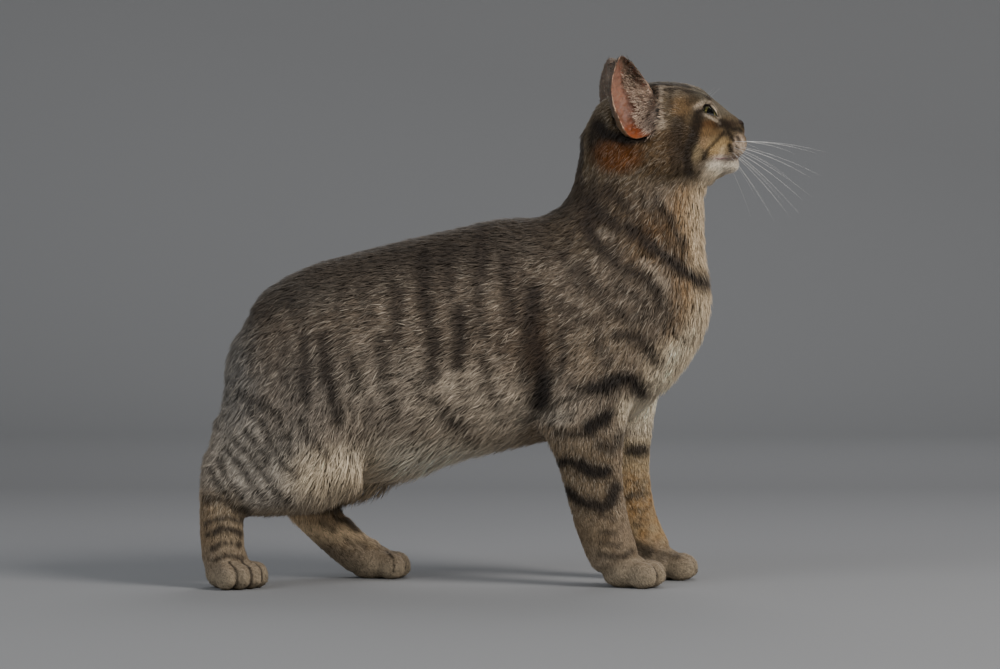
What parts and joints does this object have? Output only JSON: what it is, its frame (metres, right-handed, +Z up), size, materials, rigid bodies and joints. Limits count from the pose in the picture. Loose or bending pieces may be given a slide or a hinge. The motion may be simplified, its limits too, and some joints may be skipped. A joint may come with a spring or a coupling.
{
  "type": "manx cat figure",
  "caption": "Life-size tailless cat standing still with its head raised, parted into head, ears, neck, trunk, legs and paws.",
  "frame": {"origin": "middle of the bounding box in plan, at the level of the paws' soles", "axes": "+X towards the nose, +Y towards the cat's left, +Z up"},
  "size_m": [0.4262, 0.1491, 0.3594],
  "materials": {
    "coat_back": "short dense ticked tabby fur, grey-brown with dark bars",
    "coat_limb": "short dense fur, warm tan with dark bars",
    "coat_pale": "short soft cream fur",
    "ear_skin": "thin skin, pink inside and furred outside",
    "nose_leather": "moist bare skin with a fine grain",
    "eye": "clear moist dome over an olive iris"
  },
  "bodies": {
    "root": {"head": "coat_back", "muzzle": "coat_pale", "chin": "coat_pale", "nose": "nose_leather", "ear_left": "ear_skin", "ear_right": "ear_skin", "eye_left": "eye", "eye_right": "eye", "neck": "coat_back", "chest": "coat_back", "loin": "coat_back", "haunch_left": "coat_back", "haunch_right": "coat_back", "hind_shin_left": "coat_limb", "hind_shin_right": "coat_limb", "hind_paw_left": "coat_limb", "hind_paw_right": "coat_limb", "forearm_left": "coat_limb", "forearm_right": "coat_limb", "forepaw_left": "coat_limb", "forepaw_right": "coat_limb"}
  },
  "joints": []
}
